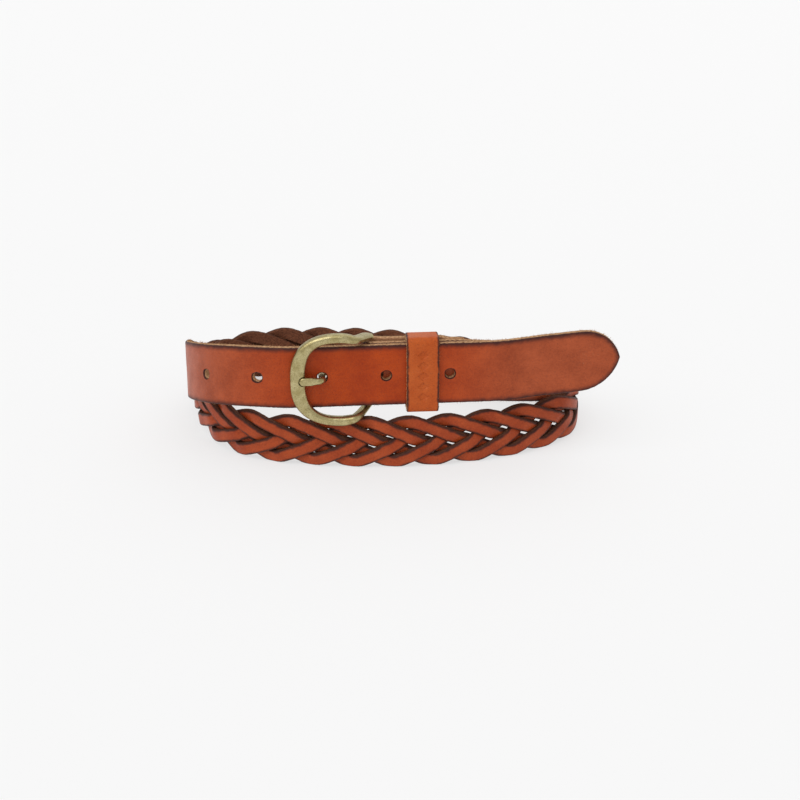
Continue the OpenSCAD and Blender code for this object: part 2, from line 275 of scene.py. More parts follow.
def round_edges(piece, edge_at, thickness, grain_r, flesh_r):
    """Rounds the leather off towards its edge, more on the grain side, and keeps the distance to the edge."""
    mesh = piece.data
    depth = mesh.attributes.new("edge_depth", "FLOAT", "POINT")
    for v in mesh.vertices:
        d = max(edge_at(v.co.x, v.co.z), 0.0)
        depth.data[v.index].value = d
        grain = v.co.y < 0
        r = grain_r if grain else flesh_r
        drop = r - math.sqrt(max(r * r - max(r - d, 0.0) ** 2, 0.0))
        if abs(abs(v.co.y) - thickness / 2) < 0.01:
            v.co.y += drop if grain else -drop


def steps(a, b, pitch):
    n = max(1, round((b - a) / pitch))
    return [a + (b - a) * i / n for i in range(n + 1)]


braid_end_s = route_l - TIP_STRAP_L
point_inset = POINT_R - STRAP_W / 2
point_l = math.sqrt(POINT_R ** 2 - point_inset ** 2)
point_s = route_l - point_l


def tip_half(s):
    if s <= point_s:
        return STRAP_W / 2
    return max(0.5, math.sqrt(max(POINT_R ** 2 - (s - point_s) ** 2, 0)) - point_inset)


def tip_edge(s, up):
    straight = STRAP_W / 2 - abs(up)
    if s <= point_s:
        return straight
    return min(straight, POINT_R - math.hypot(s - point_s, abs(up) + point_inset))


point_angle = math.asin(point_l / POINT_R)
tip_columns = steps(braid_end_s - 0.5, point_s, 1.0)
tip_columns += [point_s + POINT_R * math.sin(point_angle * i / 30) for i in range(1, 31)]
tip_strap = flat_blank("leather_tip_strap", tip_columns, EDGE_ROWS, tip_half, LEATHER_T)
round_edges(tip_strap, tip_edge, LEATHER_T, 0.8, 0.5)

HOLE_R, HOLE_PITCH, PRONG_REACH, LIP_L, LIP_FLARE = 2.35, 30.0, 24.0, 0.5, 0.17
hole_places = [front_s + (-PRONG_REACH + HOLE_PITCH * k) - front_x for k in range(-2, 3)]


def hole_punch(s):
    """A round punch with a flared neck, so that the grain rolls a little way into the hole."""
    punch_tool = cylinder(40, HOLE_R, 6, location=(s, 0, 0), rotation=LYING)
    grain_y = -LEATHER_T / 2
    bpy.ops.object.mode_set(mode="EDIT")
    for depth in (LIP_L, 0.22, -0.05):
        bpy.ops.mesh.select_all(action="SELECT")
        bpy.ops.mesh.bisect(plane_co=(s, grain_y + depth, 0), plane_no=(0, 1, 0))
    bpy.ops.object.mode_set(mode="OBJECT")
    for v in punch_tool.data.vertices:
        grow = 1 + LIP_FLARE * ease((grain_y + LIP_L - v.co.y) / (LIP_L + 0.05))
        v.co.x = s + (v.co.x - s) * grow
        v.co.z *= grow
    return punch_tool


for hole_s in hole_places:
    combine(tip_strap, hole_punch(hole_s), "DIFFERENCE")


def unevenness(piece, edge_size, face_size, seed):
    """The small waves of hand-cut leather: along its cut edges and across its faces."""
    depth = piece.data.attributes["edge_depth"].data
    for v in piece.data.vertices:
        near = math.exp(-depth[v.index].value / 0.8)
        at = Vector((v.co.x * 0.9, seed, v.co.z * 0.2))
        slow = Vector((v.co.x * 0.045, seed + 7, v.co.z * 0.06))
        v.co.z += near * edge_size * noise.noise(at) + edge_size * 0.8 * noise.noise(slow)
        v.co.y += near * edge_size * 0.7 * noise.noise(at * 1.7) + face_size * noise.noise(slow * 1.3)


unevenness(tip_strap, 0.16, 0.12, 3.0)


def add_fibres(piece, roots, seed, length=(0.45, 1.5), thick=0.065):
    """Loose leather fibres: each root is a point on the cut edge and the direction out of it."""
    rng = random.Random(seed)
    third = 2.0944
    mesh = bmesh.new()
    mesh.from_mesh(piece.data)
    depth = mesh.verts.layers.float.get("edge_depth")
    for place, away in roots:
        side = Vector((rng.uniform(-1, 1), rng.uniform(-0.6, 0.6), rng.uniform(-0.3, 0.3)))
        along = (away + side * 0.9).normalized()
        bend = Vector((rng.uniform(-1, 1), rng.uniform(-1, 1), rng.uniform(-0.5, 0.5))) * 0.45
        reach = rng.uniform(*length) * rng.uniform(0.5, 1)
        u = along.orthogonal().normalized()
        w = along.cross(u)
        rings = []
        for f, r in ((-0.15, 1.0), (0.5, 0.75)):
            centre = place + along * reach * f + bend * reach * f * f
            rings.append([mesh.verts.new(centre + (u * math.cos(a) + w * math.sin(a)) * thick * r)
                          for a in (0, third, 2 * third)])
        point = mesh.verts.new(place + along * reach + bend * reach)
        faces = [mesh.faces.new(reversed(rings[0]))]
        for j in range(3):
            k = (j + 1) % 3
            faces.append(mesh.faces.new((rings[0][j], rings[0][k], rings[1][k], rings[1][j])))
            faces.append(mesh.faces.new((rings[1][j], rings[1][k], point)))
        for face in faces:
            face.material_index = 1
        for v in (*rings[0], *rings[1], point):
            v[depth] = -1.0
    mesh.to_mesh(piece.data)
    mesh.free()


def edge_roots(rng, s0, s1, count, half_at, y_range):
    """Places for fibres on both long edges from s0 to s1, within y_range of the leather's thickness."""
    roots = []
    for _ in range(count):
        s = rng.uniform(s0, s1)
        side = rng.choice((-1, 1))
        half = half_at(s)
        slope = (half_at(s + 0.2) - half_at(s - 0.2)) / 0.4
        away = Vector((-slope, 0, side)).normalized()
        roots.append((Vector((s, rng.uniform(*y_range), side * (half - 0.05))), away))
    return roots


tip_roots = edge_roots(random.Random(11), braid_end_s, route_l - 0.6, 2300, tip_half, (-0.4, 1.3))
add_fibres(tip_strap, tip_roots, 12)
lay(tip_strap, lambda p: belt_point(p.x, p.z, -p.y))


def smooth(piece, degrees=40):
    only(piece)
    bpy.ops.object.shade_smooth_by_angle(angle=math.radians(degrees))


smooth(tip_strap)


# Leather finishes. The pattern follows the flat leather in millimetres, which each piece keeps as "flat".
def add_node(tree, kind, sockets=None, **settings):
    made = tree.nodes.new("ShaderNode" + kind)
    for key, value in settings.items():
        setattr(made, key, value)
    for key, value in (sockets or {}).items():
        if isinstance(value, bpy.types.NodeSocket):
            tree.links.new(value, made.inputs[key])
        else:
            made.inputs[key].default_value = value
    return made


def new_group(name, inputs, outputs):
    group = bpy.data.node_groups.new(name, "ShaderNodeTree")
    for in_out, sockets in (("INPUT", inputs), ("OUTPUT", outputs)):
        for label, kind in sockets:
            group.interface.new_socket(label, in_out=in_out, socket_type="NodeSocket" + kind)
    return group, group.nodes.new("NodeGroupInput").outputs, group.nodes.new("NodeGroupOutput").inputs


def stretched(tree, vector, scale):
    return add_node(tree, "Mapping", {"Vector": vector, "Scale": scale}).outputs["Vector"]


def noise_of(tree, vector, scale, detail=3.0, roughness=0.55):
    return add_node(tree, "TexNoise", {"Vector": vector, "Scale": scale, "Detail": detail,
                                       "Roughness": roughness}).outputs["Fac"]


def ramp_of(tree, value, low, high, to_low=0.0, to_high=1.0):
    return add_node(tree, "MapRange", {"Value": value, "From Min": low, "From Max": high, "To Min": to_low,
                                       "To Max": to_high}, interpolation_type="SMOOTHSTEP").outputs["Result"]


def sum_of(tree, a, b, how="ADD"):
    return add_node(tree, "Math", {0: a, 1: b}, operation=how).outputs[0]


def blend_of(tree, factor, a, b, how="MIX"):
    return add_node(tree, "Mix", {0: factor, 6: a, 7: b}, data_type="RGBA", blend_type=how).outputs[2]


def rgb(r, g, b):
    """A colour as seen on screen, in the shader's linear scale."""
    shares = (c / 255 for c in (r, g, b))
    return tuple(c / 12.92 if c < 0.04045 else ((c + 0.055) / 1.055) ** 2.4 for c in shares) + (1.0,)


# Dyed grain side: cloudy colour, fine pores and creases, darker and duller towards the burnished edge.
skin, skin_in, skin_out = new_group(
    "leather_grain",
    [("Flat", "Vector"), ("Edge Depth", "Float"), ("Deep", "Color"), ("Pale", "Color"), ("Burnt", "Color"),
     ("Fade", "Float")],
    [("Color", "Color"), ("Roughness", "Float"), ("Height", "Float")])
clouds = noise_of(skin, skin_in["Flat"], 0.075, 5, 0.6)
streaks = noise_of(skin, stretched(skin, skin_in["Flat"], (0.12, 1.0, 0.9)), 1.0, 4, 0.6)
creases = noise_of(skin, skin_in["Flat"], 1.5, 4, 0.65)
speckle = noise_of(skin, skin_in["Flat"], 3.6, 2, 0.6)
pore = add_node(skin, "TexVoronoi", {"Vector": skin_in["Flat"], "Scale": 1.15, "Randomness": 1.0},
                feature="F1").outputs["Distance"]
pores = ramp_of(skin, pore, 0.10, 0.30)
dye = blend_of(skin, ramp_of(skin, clouds, 0.25, 0.80), skin_in["Deep"], skin_in["Pale"])
dye = blend_of(skin, ramp_of(skin, streaks, 0.35, 0.75, 0.0, 0.30), dye, skin_in["Deep"])
dye = blend_of(skin, ramp_of(skin, speckle, 0.38, 0.62, 0.22, 0.0), dye, skin_in["Burnt"])
flecks = noise_of(skin, skin_in["Flat"], 0.9, 3, 0.7)
dye = blend_of(skin, ramp_of(skin, flecks, 0.42, 0.60, 0.0, 0.22), dye, skin_in["Pale"])
dye = blend_of(skin, ramp_of(skin, pores, 0.0, 1.0, 0.35, 0.0), dye, skin_in["Burnt"])
edge_waves = ramp_of(skin, noise_of(skin, skin_in["Flat"], 0.35, 3, 0.6), 0.25, 0.75, -0.35, 0.35)
wander = sum_of(skin, skin_in["Edge Depth"], edge_waves)
wide_burn = add_node(skin, "MapRange", {"Value": wander, "From Min": 0.0, "From Max": skin_in["Fade"],
                                        "To Min": 0.85, "To Max": 0.0},
                     interpolation_type="SMOOTHERSTEP").outputs["Result"]
dye = blend_of(skin, wide_burn, dye, skin_in["Burnt"])
lip = ramp_of(skin, wander, 0.0, 1.3, 0.9, 0.0)
dye = blend_of(skin, lip, dye, skin_in["Burnt"])
skin.links.new(dye, skin_out["Color"])
rough = sum_of(skin, ramp_of(skin, clouds, 0.3, 0.7, 0.46, 0.36), sum_of(skin, wide_burn, 0.10, "MULTIPLY"))
rough = sum_of(skin, rough, ramp_of(skin, speckle, 0.3, 0.7, 0.05, -0.03))
skin.links.new(rough, skin_out["Roughness"])
relief = sum_of(skin, sum_of(skin, creases, 0.75, "MULTIPLY"), sum_of(skin, pores, 0.35, "MULTIPLY"))
relief = sum_of(skin, relief, sum_of(skin, speckle, 0.30, "MULTIPLY"))
skin.links.new(relief, skin_out["Height"])

# Cut edge and flesh side: undyed fibres that run along the leather.
raw, raw_in, raw_out = new_group(
    "leather_fibres", [("Flat", "Vector"), ("Pale", "Color"), ("Dark", "Color")],
    [("Color", "Color"), ("Height", "Float")])
long_fibres = noise_of(raw, stretched(raw, raw_in["Flat"], (0.7, 1.5, 1.5)), 1.3, 5, 0.75)
tufts = noise_of(raw, raw_in["Flat"], 0.8, 4, 0.65)
fibre_shade = sum_of(raw, ramp_of(raw, long_fibres, 0.36, 0.66, 0, 0.75),
                     ramp_of(raw, tufts, 0.4, 0.7, 0, 0.35))
raw.links.new(blend_of(raw, fibre_shade, raw_in["Pale"], raw_in["Dark"]), raw_out["Color"])
raw.links.new(sum_of(raw, long_fibres, sum_of(raw, tufts, 0.6, "MULTIPLY")), raw_out["Height"])


def leather_material(name, deep, pale, burnt, fade, raw_pale, raw_dark, flesh_pale, flesh_dark, half_t,
                     raw_from=0.45, sheen_deep=None, sheen_pale=None, far=(0, 0, 1)):
    """Grain on the -Y side of the flat leather, fibres on its cut edge and its flesh side.
    far holds the middle of the deepest colour and the distances from it over which the colour turns paler and
    pinker, a painted sheen."""
    material, tree, shader = new_material(name)
    flat = add_node(tree, "Attribute", attribute_name="flat").outputs["Vector"]
    edge = add_node(tree, "Attribute", attribute_name="edge_depth").outputs["Fac"]
    apart = add_node(tree, "SeparateXYZ", {0: flat}).outputs
    if sheen_deep:
        # Away from that middle the colour is painted paler and pinker: a painted sheen, not a change of dye.
        away = sum_of(tree, sum_of(tree, apart["X"], far[0], "SUBTRACT"), 0.0, "ABSOLUTE")
        along = ramp_of(tree, away, far[1], far[2])
        deep = blend_of(tree, along, deep, sheen_deep)
        pale = blend_of(tree, along, pale, sheen_pale)
    grain = add_node(tree, "Group", {"Flat": flat, "Edge Depth": edge, "Deep": deep, "Pale": pale,
                                     "Burnt": burnt, "Fade": fade}, node_tree=skin)
    cut = add_node(tree, "Group", {"Flat": flat, "Pale": raw_pale, "Dark": raw_dark}, node_tree=raw)
    flesh = add_node(tree, "Group", {"Flat": flat, "Pale": flesh_pale, "Dark": flesh_dark}, node_tree=raw)
    # The dye stops a little way down the cut edge, and just inside the lip of a punched hole
    ragged = sum_of(tree, apart["Y"], ramp_of(tree, noise_of(tree, flat, 1.1, 3, 0.7), 0.3, 0.7, -0.18, 0.18))
    at_edge = ramp_of(tree, edge, 1.2, 2.5)
    start = sum_of(tree, -half_t + 0.25 + raw_from, sum_of(tree, at_edge, raw_from, "MULTIPLY"), "SUBTRACT")
    bare = ramp_of(tree, sum_of(tree, ragged, start, "SUBTRACT"), -0.08, 0.22)
    back = ramp_of(tree, ragged, half_t - 0.7, half_t - 0.2)
    fibres = blend_of(tree, back, cut.outputs["Color"], flesh.outputs["Color"])
    colour = blend_of(tree, bare, grain.outputs["Color"], fibres)
    roughness = add_node(tree, "Mix", {0: bare, 2: grain.outputs["Roughness"], 3: 0.88}).outputs[0]
    fibre_height = add_node(tree, "Mix", {0: back, 2: cut.outputs["Height"],
                                          3: flesh.outputs["Height"]}).outputs[0]
    fibre_height = sum_of(tree, fibre_height, 2.0, "MULTIPLY")
    height = add_node(tree, "Mix", {0: bare, 2: grain.outputs["Height"], 3: fibre_height}).outputs[0]
    bump = add_node(tree, "Bump", {"Height": height, "Distance": 0.00016, "Strength": 0.75})
    tree.links.new(colour, shader.inputs["Base Color"])
    tree.links.new(roughness, shader.inputs["Roughness"])
    tree.links.new(bump.outputs["Normal"], shader.inputs["Normal"])
    shader.inputs["Specular IOR Level"].default_value = 0.18
    return material


def fibre_material(name, pale, dark):
    material, tree, shader = new_material(name)
    flat = add_node(tree, "Attribute", attribute_name="flat").outputs["Vector"]
    cut = add_node(tree, "Group", {"Flat": flat, "Pale": pale, "Dark": dark}, node_tree=raw)
    tree.links.new(cut.outputs["Color"], shader.inputs["Base Color"])
    shader.inputs["Roughness"].default_value = 0.9
    shader.inputs["Specular IOR Level"].default_value = 0.2
    return material


def dress(piece, *materials):
    piece.data.materials.clear()
    for material in materials:
        piece.data.materials.append(material)


BURNT = rgb(62, 30, 26)
# Towards both ends of its route the strap's colour is painted paler and pinker, a painted sheen.
strap_finish = leather_material(
    "tan_strap_leather", rgb(160, 52, 5), rgb(188, 72, 12), BURNT, 3.4,
    rgb(214, 172, 128), rgb(120, 78, 50), rgb(196, 150, 112), rgb(140, 92, 62), LEATHER_T / 2,
    sheen_deep=rgb(150, 66, 34), sheen_pale=rgb(184, 88, 50), far=(front_s + 32, 22, 80))
strap_fibres = fibre_material("strap_edge_fibres", rgb(216, 178, 136), rgb(110, 70, 46))
dress(tip_strap, strap_finish, strap_fibres)
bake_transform(tip_strap)
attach(tip_strap, "strap")
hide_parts("tip_strap", "tip_end")

# ---- Braid ----
# Five strands, each about 6 mm wide and cut from the same leather, woven over two and under two.
# Their cut edges are dyed dark and worn round, and their ends run side by side into the solid straps.
STRAND_W, STRAND_T, STRAND_SWING, STRAND_LIFT = 6.25, 2.9, 9.1, 1.5
BRAID_START_S, WAVES, FAN_L, FAN_PHASE, EDGE_ROUND = 100.0, 7.8, 26.0, 0.05, 0.95
MIDDLE_RAMP, EDGE_RAMP, ROLL_REACH, ROLL_SLOPE = 0.032, 0.075, 2.0, 0.466
braid_l = braid_end_s - BRAID_START_S
wave_l = braid_l / WAVES


def over_under(p):
    """1 where the strand lies over two others and -1 where it lies under two; p counts its zigzags."""
    q = p - math.floor(2 * p) / 2
    if q < 0.125:
        return math.sin(math.pi / 2 * min(q / EDGE_RAMP, 1))
    if q < 0.375:
        return math.sin(math.pi / 2 * min(max((0.25 - q) / MIDDLE_RAMP, -1), 1))
    return -math.sin(math.pi / 2 * min((0.5 - q) / EDGE_RAMP, 1))


def wave_phase(k, s):
    """How many zigzags strand k has made at s."""
    return (s - BRAID_START_S) / wave_l + k / 5 + FAN_PHASE


def fan(s):
    """1 at the braid's ends, where the strands lie side by side, and 0 in the full weave."""
    return ease(1 - min(s - BRAID_START_S, braid_end_s - s) / FAN_L)


def side_place(p):
    return round((1 - 4 * abs(p - round(p))) * 2.5)


def strand_up(k, s):
    f = fan(s)
    near_end = BRAID_START_S if s - BRAID_START_S < braid_end_s - s else braid_end_s
    swing = math.asin(EDGE_ROUND * math.cos(2 * math.pi * wave_phase(k, s))) / math.asin(EDGE_ROUND)
    return STRAND_SWING * swing * (1 - f) + side_place(wave_phase(k, near_end)) * STRAP_W / 5 * f


def strand_out(k, s, side):
    slope = (strand_up(k, s + 1) - strand_up(k, s - 1)) / 2
    phase = wave_phase(k, s + side * ROLL_REACH * slope / ROLL_SLOPE)
    return STRAND_LIFT * over_under(phase) * (1 - fan(s) ** 2)


@lru_cache(maxsize=None)
def strand_frame(k, s):
    """Middle of the strand at s, and the directions across it and out of its grain face."""
    def middle(at):
        return belt_point(at, strand_up(k, at), (strand_out(k, at, 1) + strand_out(k, at, -1)) / 2)
    h = plan(round(s, 3))[0]
    away = Vector((math.sin(h), -math.cos(h), 0))
    along = middle(s + 0.7) - middle(s - 0.7)
    across = away.cross(along).normalized()
    roll = (strand_out(k, s, 1) - strand_out(k, s, -1)) / 2
    tilted = (across * STRAND_W / 2 + away * roll).normalized()
    return middle(s), tilted, tilted.cross(along).normalized()


def strand_place(k, p):
    middle, across, inward = strand_frame(k, round(p.x, 3))
    v = middle + across * p.z + inward * p.y
    return Vector((v.x, v.y, max(0.15, v.z)))


strand_depths = [d * STRAND_W / 2 / 3.0 for d in (0, 0.1, 0.3, 0.6, 1.0, 1.6, 2.3, 3.0)]
strand_columns = steps(BRAID_START_S - 0.8, braid_end_s + 0.8, 1.25)
strand_blank = flat_blank("braid_strand_blank", strand_columns, strand_depths, lambda s: STRAND_W / 2,
                          STRAND_T)
round_edges(strand_blank, lambda s, up: STRAND_W / 2 - abs(up), STRAND_T, 0.95, 0.6)

strand_finish = leather_material(
    "tan_strand_leather", rgb(150, 56, 22), rgb(184, 82, 40), rgb(58, 30, 24), 1.9,
    rgb(104, 64, 44), rgb(58, 34, 26), rgb(124, 76, 52), rgb(72, 42, 30), STRAND_T / 2, raw_from=0.35)
strand_fibres = fibre_material("strand_edge_fibres", rgb(150, 100, 70), rgb(84, 50, 36))

for k in range(5):
    strand = strand_blank.copy()
    strand.data = strand_blank.data.copy()
    strand.name = strand.data.name = f"leather_strand_{k + 1}"
    scene.collection.objects.link(strand)
    unevenness(strand, 0.14, 0.10, 20.0 + 9 * k)
    roots = edge_roots(random.Random(40 + k), BRAID_START_S, braid_end_s, 1100, lambda s: STRAND_W / 2,
                       (-0.2, 1.0))
    add_fibres(strand, roots, 60 + k, length=(0.25, 0.7), thick=0.05)
    lay(strand, lambda p: strand_place(k, p))
    smooth(strand)
    dress(strand, strand_finish, strand_fibres)
    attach(strand, "strap")
    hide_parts(f"braid_strand_{k + 1}")
bpy.data.objects.remove(strand_blank)

# ---- Buckle strap ----
# The other solid strap. It runs from the braid to the buckle, folds back round the heel bar and is sewn
# down behind itself. It has a slot for the prong, holds the keeper's back run in its fold and is pared
# thin at its end.
FOLD_R = -CHAPE_Y
fold_arc = math.pi * FOLD_R
BACK_LAYER_L = 43.0
SLOT_W, SLOT_TO_X = 4.8, 5.0
# Steps of the folded layer towards the strap: where each starts, how long it takes and how deep it is
FOLD_STEPS = ((0, 8, 0.6), (31, 6.5, 3.2), (38, 5, 0.82))
PARE_X, PARE_L, PARE_SHARE = 37, 6, 0.5


def fold_line(x):
    """How far back the folded layer lies, which steps in behind the keeper and again at its thin end."""
    y = FOLD_R
    for at, length, depth in FOLD_STEPS:
        y -= depth * ease((x - at) / length)
    return y


def fold_slope(x):
    return (fold_line(x + 0.1) - fold_line(x - 0.1)) / 0.2


def pared_share(x):
    return 1 - PARE_SHARE * ease((x - PARE_X) / PARE_L)


def buckle_strap_place(p):
    s, out, up = p.x, -p.y, p.z
    if s >= 0:
        return belt_point(s, up, out)
    if s > -fold_arc:
        a = -s / FOLD_R
        r = FOLD_R + out
        return Vector((-r * math.sin(a), -r * math.cos(a), FRONT_Z + up))
    x = -s - fold_arc
    n = Vector((-fold_slope(x), 1, 0)).normalized()
    return Vector((x, fold_line(x), FRONT_Z + up)) + n * out * pared_share(x)


def end_and_side_edge(s, up):
    return min(STRAP_W / 2 - abs(up), s + fold_arc + BACK_LAYER_L)


buckle_columns = steps(-fold_arc - BACK_LAYER_L, -fold_arc, 1.0)[:-1] + steps(-fold_arc, 0, 0.45)[:-1]
buckle_columns += steps(0, BRAID_START_S + 0.5, 1.0)
buckle_strap = flat_blank("leather_buckle_strap", buckle_columns, EDGE_ROWS, lambda s: STRAP_W / 2, LEATHER_T)
round_edges(buckle_strap, end_and_side_edge, LEATHER_T, 0.8, 0.5)
slot_from = -fold_arc - SLOT_TO_X
slot_cutter = cylinder(32, SLOT_W / 2, 8, rotation=LYING)
for v in slot_cutter.data.vertices:
    v.co.x += SLOT_TO_X - SLOT_W / 2 if v.co.x > 0 else slot_from + SLOT_W / 2
combine(buckle_strap, slot_cutter, "DIFFERENCE")
unevenness(buckle_strap, 0.14, 0.04, 90.0)
buckle_roots = edge_roots(random.Random(91), -fold_arc - BACK_LAYER_L, BRAID_START_S, 1500,
                          lambda s: STRAP_W / 2, (-0.4, 1.3))
add_fibres(buckle_strap, buckle_roots, 92)
lay(buckle_strap, buckle_strap_place)
smooth(buckle_strap)
dress(buckle_strap, strap_finish, strap_fibres)
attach(buckle_strap, "strap")
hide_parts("buckle_strap")

# ---- Stitches of the fold ----
# Two rows of waxed two-ply thread hold the folded end down, one on each side of the keeper.
# Each stitch is drawn tight, so it bows up in its middle and dips into its needle holes.
STITCH_ROWS, STITCH_PITCH, THREAD_R = (10.5, 39.5), 6.0, 0.42
TWIST_TURNS, PLY_SWELL, STITCH_RINGS = 3.0, 0.16, 20


def stitch_between(x, y, z0, z1, face):
    """One stitch from z0 to z1 on a face of the fold; face is -1 in front and 1 behind."""
    thread = cylinder(14, THREAD_R, 1)
    bpy.ops.object.mode_set(mode="EDIT")
    for i in range(1, STITCH_RINGS):
        bpy.ops.mesh.select_all(action="SELECT")
        bpy.ops.mesh.bisect(plane_co=(0, 0, -0.5 + i / STITCH_RINGS), plane_no=(0, 0, 1))
    bpy.ops.object.mode_set(mode="OBJECT")
    for v in thread.data.vertices:
        f = v.co.z + 0.5
        a = math.atan2(v.co.y, v.co.x)
        ply = 1 + PLY_SWELL * math.cos(2 * (a - TWIST_TURNS * 2 * math.pi * f))
        arch = math.sin(math.pi * f)
        end = 0.55 + 0.45 * min(1.0, 6 * min(f, 1 - f) + 0.2)
        r = THREAD_R * ply * end
        reach = -0.75 + 0.85 * min(1.0, arch * 2.4)
        v.co = (x + r * math.cos(a), y + face * reach * THREAD_R + r * math.sin(a),
                z0 + 0.15 + (z1 - z0 - 0.3) * f)
    return thread


threads = []
for row_x in STITCH_ROWS:
    back_y = fold_line(row_x) + LEATHER_T / 2 * pared_share(row_x) / math.cos(math.atan(fold_slope(row_x)))
    for i in range(-2, 2):
        z0 = FRONT_Z + i * STITCH_PITCH
        threads.append(stitch_between(row_x, back_y, z0, z0 + STITCH_PITCH, 1))
        threads.append(stitch_between(row_x, CHAPE_Y - LEATHER_T / 2 + 0.33, z0, z0 + STITCH_PITCH, -1))
stitches = threads[0]
only(stitches)
for thread in threads:
    thread.select_set(True)
bpy.ops.object.join()
stitches.name = stitches.data.name = "waxed_stitches"
lay(stitches, lambda p: p)
smooth(stitches, 60)
thread_finish, tree, waxed = new_material("waxed_thread")
flat = add_node(tree, "Attribute", attribute_name="flat").outputs["Vector"]
wax = noise_of(tree, stretched(tree, flat, (1.2, 1.2, 3.0)), 1.4, 4, 0.7)
tree.links.new(blend_of(tree, ramp_of(tree, wax, 0.3, 0.7), rgb(96, 54, 32), rgb(146, 92, 58)),
               waxed.inputs["Base Color"])
tree.links.new(ramp_of(tree, wax, 0.3, 0.7, 0.45, 0.65), waxed.inputs["Roughness"])
wax_bump = add_node(tree, "Bump", {"Height": wax, "Distance": 0.0001})
tree.links.new(wax_bump.outputs["Normal"], waxed.inputs["Normal"])
dress(stitches, thread_finish)
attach(stitches, "strap")
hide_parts("fold_stitches")

# ---- Buckle frame ----
# A cast horseshoe with a rounded crown, plated in antique brass and brushed so that its edges stay dark.
# Its rails drop back to the heel bar, which the buckle strap is folded round.
# The outer bar has a notch for the prong.
FRAME_H, OUTER_BAR_W, RAIL_W, FRAME_T = 45.6, 7.0, 4.4, 4.6
HEEL_HALF, CROWN_X, OUTER_X, RAIL_SHARE = 16.4, -15.0, -35.5, 0.35
FRAME_FRONT_Y, OUTER_BAR_Y, SQUARENESS = -12.6, -11.2, 2.6
RAIL_HALF, HEEL_END_W, RAIL_RISE_X = FRAME_H / 2 - RAIL_W / 2, 2.4, -10
CROWN_POWER, BACK_POWER = 2.3, 5.0


def half_line(t):
    """Place along and up the frame's upper half, from the heel at 0 to the outer bar's middle at 1."""
    if t < RAIL_SHARE:
        u = 1 - t / RAIL_SHARE
        return CROWN_X * t / RAIL_SHARE, RAIL_HALF - (RAIL_HALF - HEEL_HALF) * u ** 1.5
    a = math.pi / 2 * min((t - RAIL_SHARE) / (1 - RAIL_SHARE), 1.0)
    return (CROWN_X + (OUTER_X - CROWN_X) * max(math.sin(a), 0) ** (2 / SQUARENESS),
            RAIL_HALF * max(math.cos(a), 0) ** (2 / SQUARENESS))


def line_point(u):
    x, up = half_line(1 - abs(u))
    if x > RAIL_RISE_X:
        y = FRAME_FRONT_Y * ease(x / RAIL_RISE_X)
    else:
        y = FRAME_FRONT_Y + (OUTER_BAR_Y - FRAME_FRONT_Y) * ease((x - RAIL_RISE_X) / (OUTER_X - RAIL_RISE_X))
    return Vector((x, y, math.copysign(up, u)))


def bar_width(t):
    if t < RAIL_SHARE:
        return HEEL_END_W + (RAIL_W - HEEL_END_W) * ease(t / RAIL_SHARE)
    return RAIL_W + (OUTER_BAR_W - RAIL_W) * ease((t - 0.45) / 0.5)


# The stations are spaced evenly along the bar, which the formula alone doesn't do near the outer bar
FINE = 2000
walk = [line_point(i / FINE) for i in range(FINE + 1)]
lengths = [0.0]
for a, b in zip(walk, walk[1:]):
    lengths.append(lengths[-1] + (b - a).length)


def even_u(f):
    """Place along the half bar at a share f of its length, from the outer bar to the heel."""
    target = f * lengths[-1]
    i = min(max(bisect_right(lengths, target), 1), FINE)
    span = lengths[i] - lengths[i - 1]
    return (i - 1 + (target - lengths[i - 1]) / span) / FINE


@lru_cache(maxsize=None)
def bar_frame(f):
    """Middle of the bar at a share f, -1 to 1, the directions across and out of it, and its width."""
    u = math.copysign(even_u(min(abs(f), 1.0)), f)
    d = line_point(min(1, u + 0.012)) - line_point(max(-1, u - 0.012))
    side = Vector((0, -1, 0)).cross(d).normalized()
    front = d.cross(side).normalized()
    if front.y > 0:
        front = -front
    return line_point(u), side, front, bar_width(1 - abs(u))


def bar_section(a):
    """Across and out of the bar at angle a: a low flat back, upright flanks and a rounded crown."""
    c, s = math.cos(a), math.sin(a)
    power = CROWN_POWER if s > 0 else BACK_POWER
    r = (abs(c) ** power + abs(s) ** power) ** (-1 / power)
    return 0.5 * r * c, (0.5 * r * s if s < 0 else 0.04 + 0.46 * r * s)


bar_stations, bar_sides = 220, 36
bpy.ops.mesh.primitive_grid_add(x_subdivisions=bar_stations, y_subdivisions=bar_sides, size=2)
buckle = bpy.context.object
for v in buckle.data.vertices:
    f = round(v.co.x, 5)
    c, side, front, width = bar_frame(f)
    across, out = bar_section(math.pi * v.co.y)
    taper = 1 - 0.12 * ease((abs(f) - 0.9) / 0.1)
    v.co = c + side * across * width * taper + front * out * FRAME_T * taper + Vector((0, 0, FRONT_Z))
bpy.ops.object.mode_set(mode="EDIT")
bpy.ops.mesh.select_all(action="SELECT")
bpy.ops.mesh.remove_doubles(threshold=0.001)
bpy.ops.mesh.fill_holes(sides=bar_sides)
bpy.ops.mesh.normals_make_consistent(inside=False)
bpy.ops.object.mode_set(mode="OBJECT")

NOTCH_R, NOTCH_X, NOTCH_DEPTH = 2.4, -32.9, 1.9
notch_y = OUTER_BAR_Y - FRAME_T / 2 + NOTCH_DEPTH
notch_cutter = cylinder(48, NOTCH_R, 5, rotation=LYING, location=(NOTCH_X, notch_y - 2.5, FRONT_Z))
for v in notch_cutter.data.vertices:
    if v.co.x > NOTCH_X:
        v.co.x += OUTER_BAR_W
combine(buckle, notch_cutter, "DIFFERENCE")

heel_bar = cylinder(40, HEEL_D / 2, 2 * HEEL_HALF + 1.2, location=(0, 0, FRONT_Z))
bevel(heel_bar, 0.7)
combine(buckle, heel_bar, "UNION")
buckle.name = buckle.data.name = "brass_buckle_frame"
lay(buckle, lambda p: p)
smooth(buckle, 35)

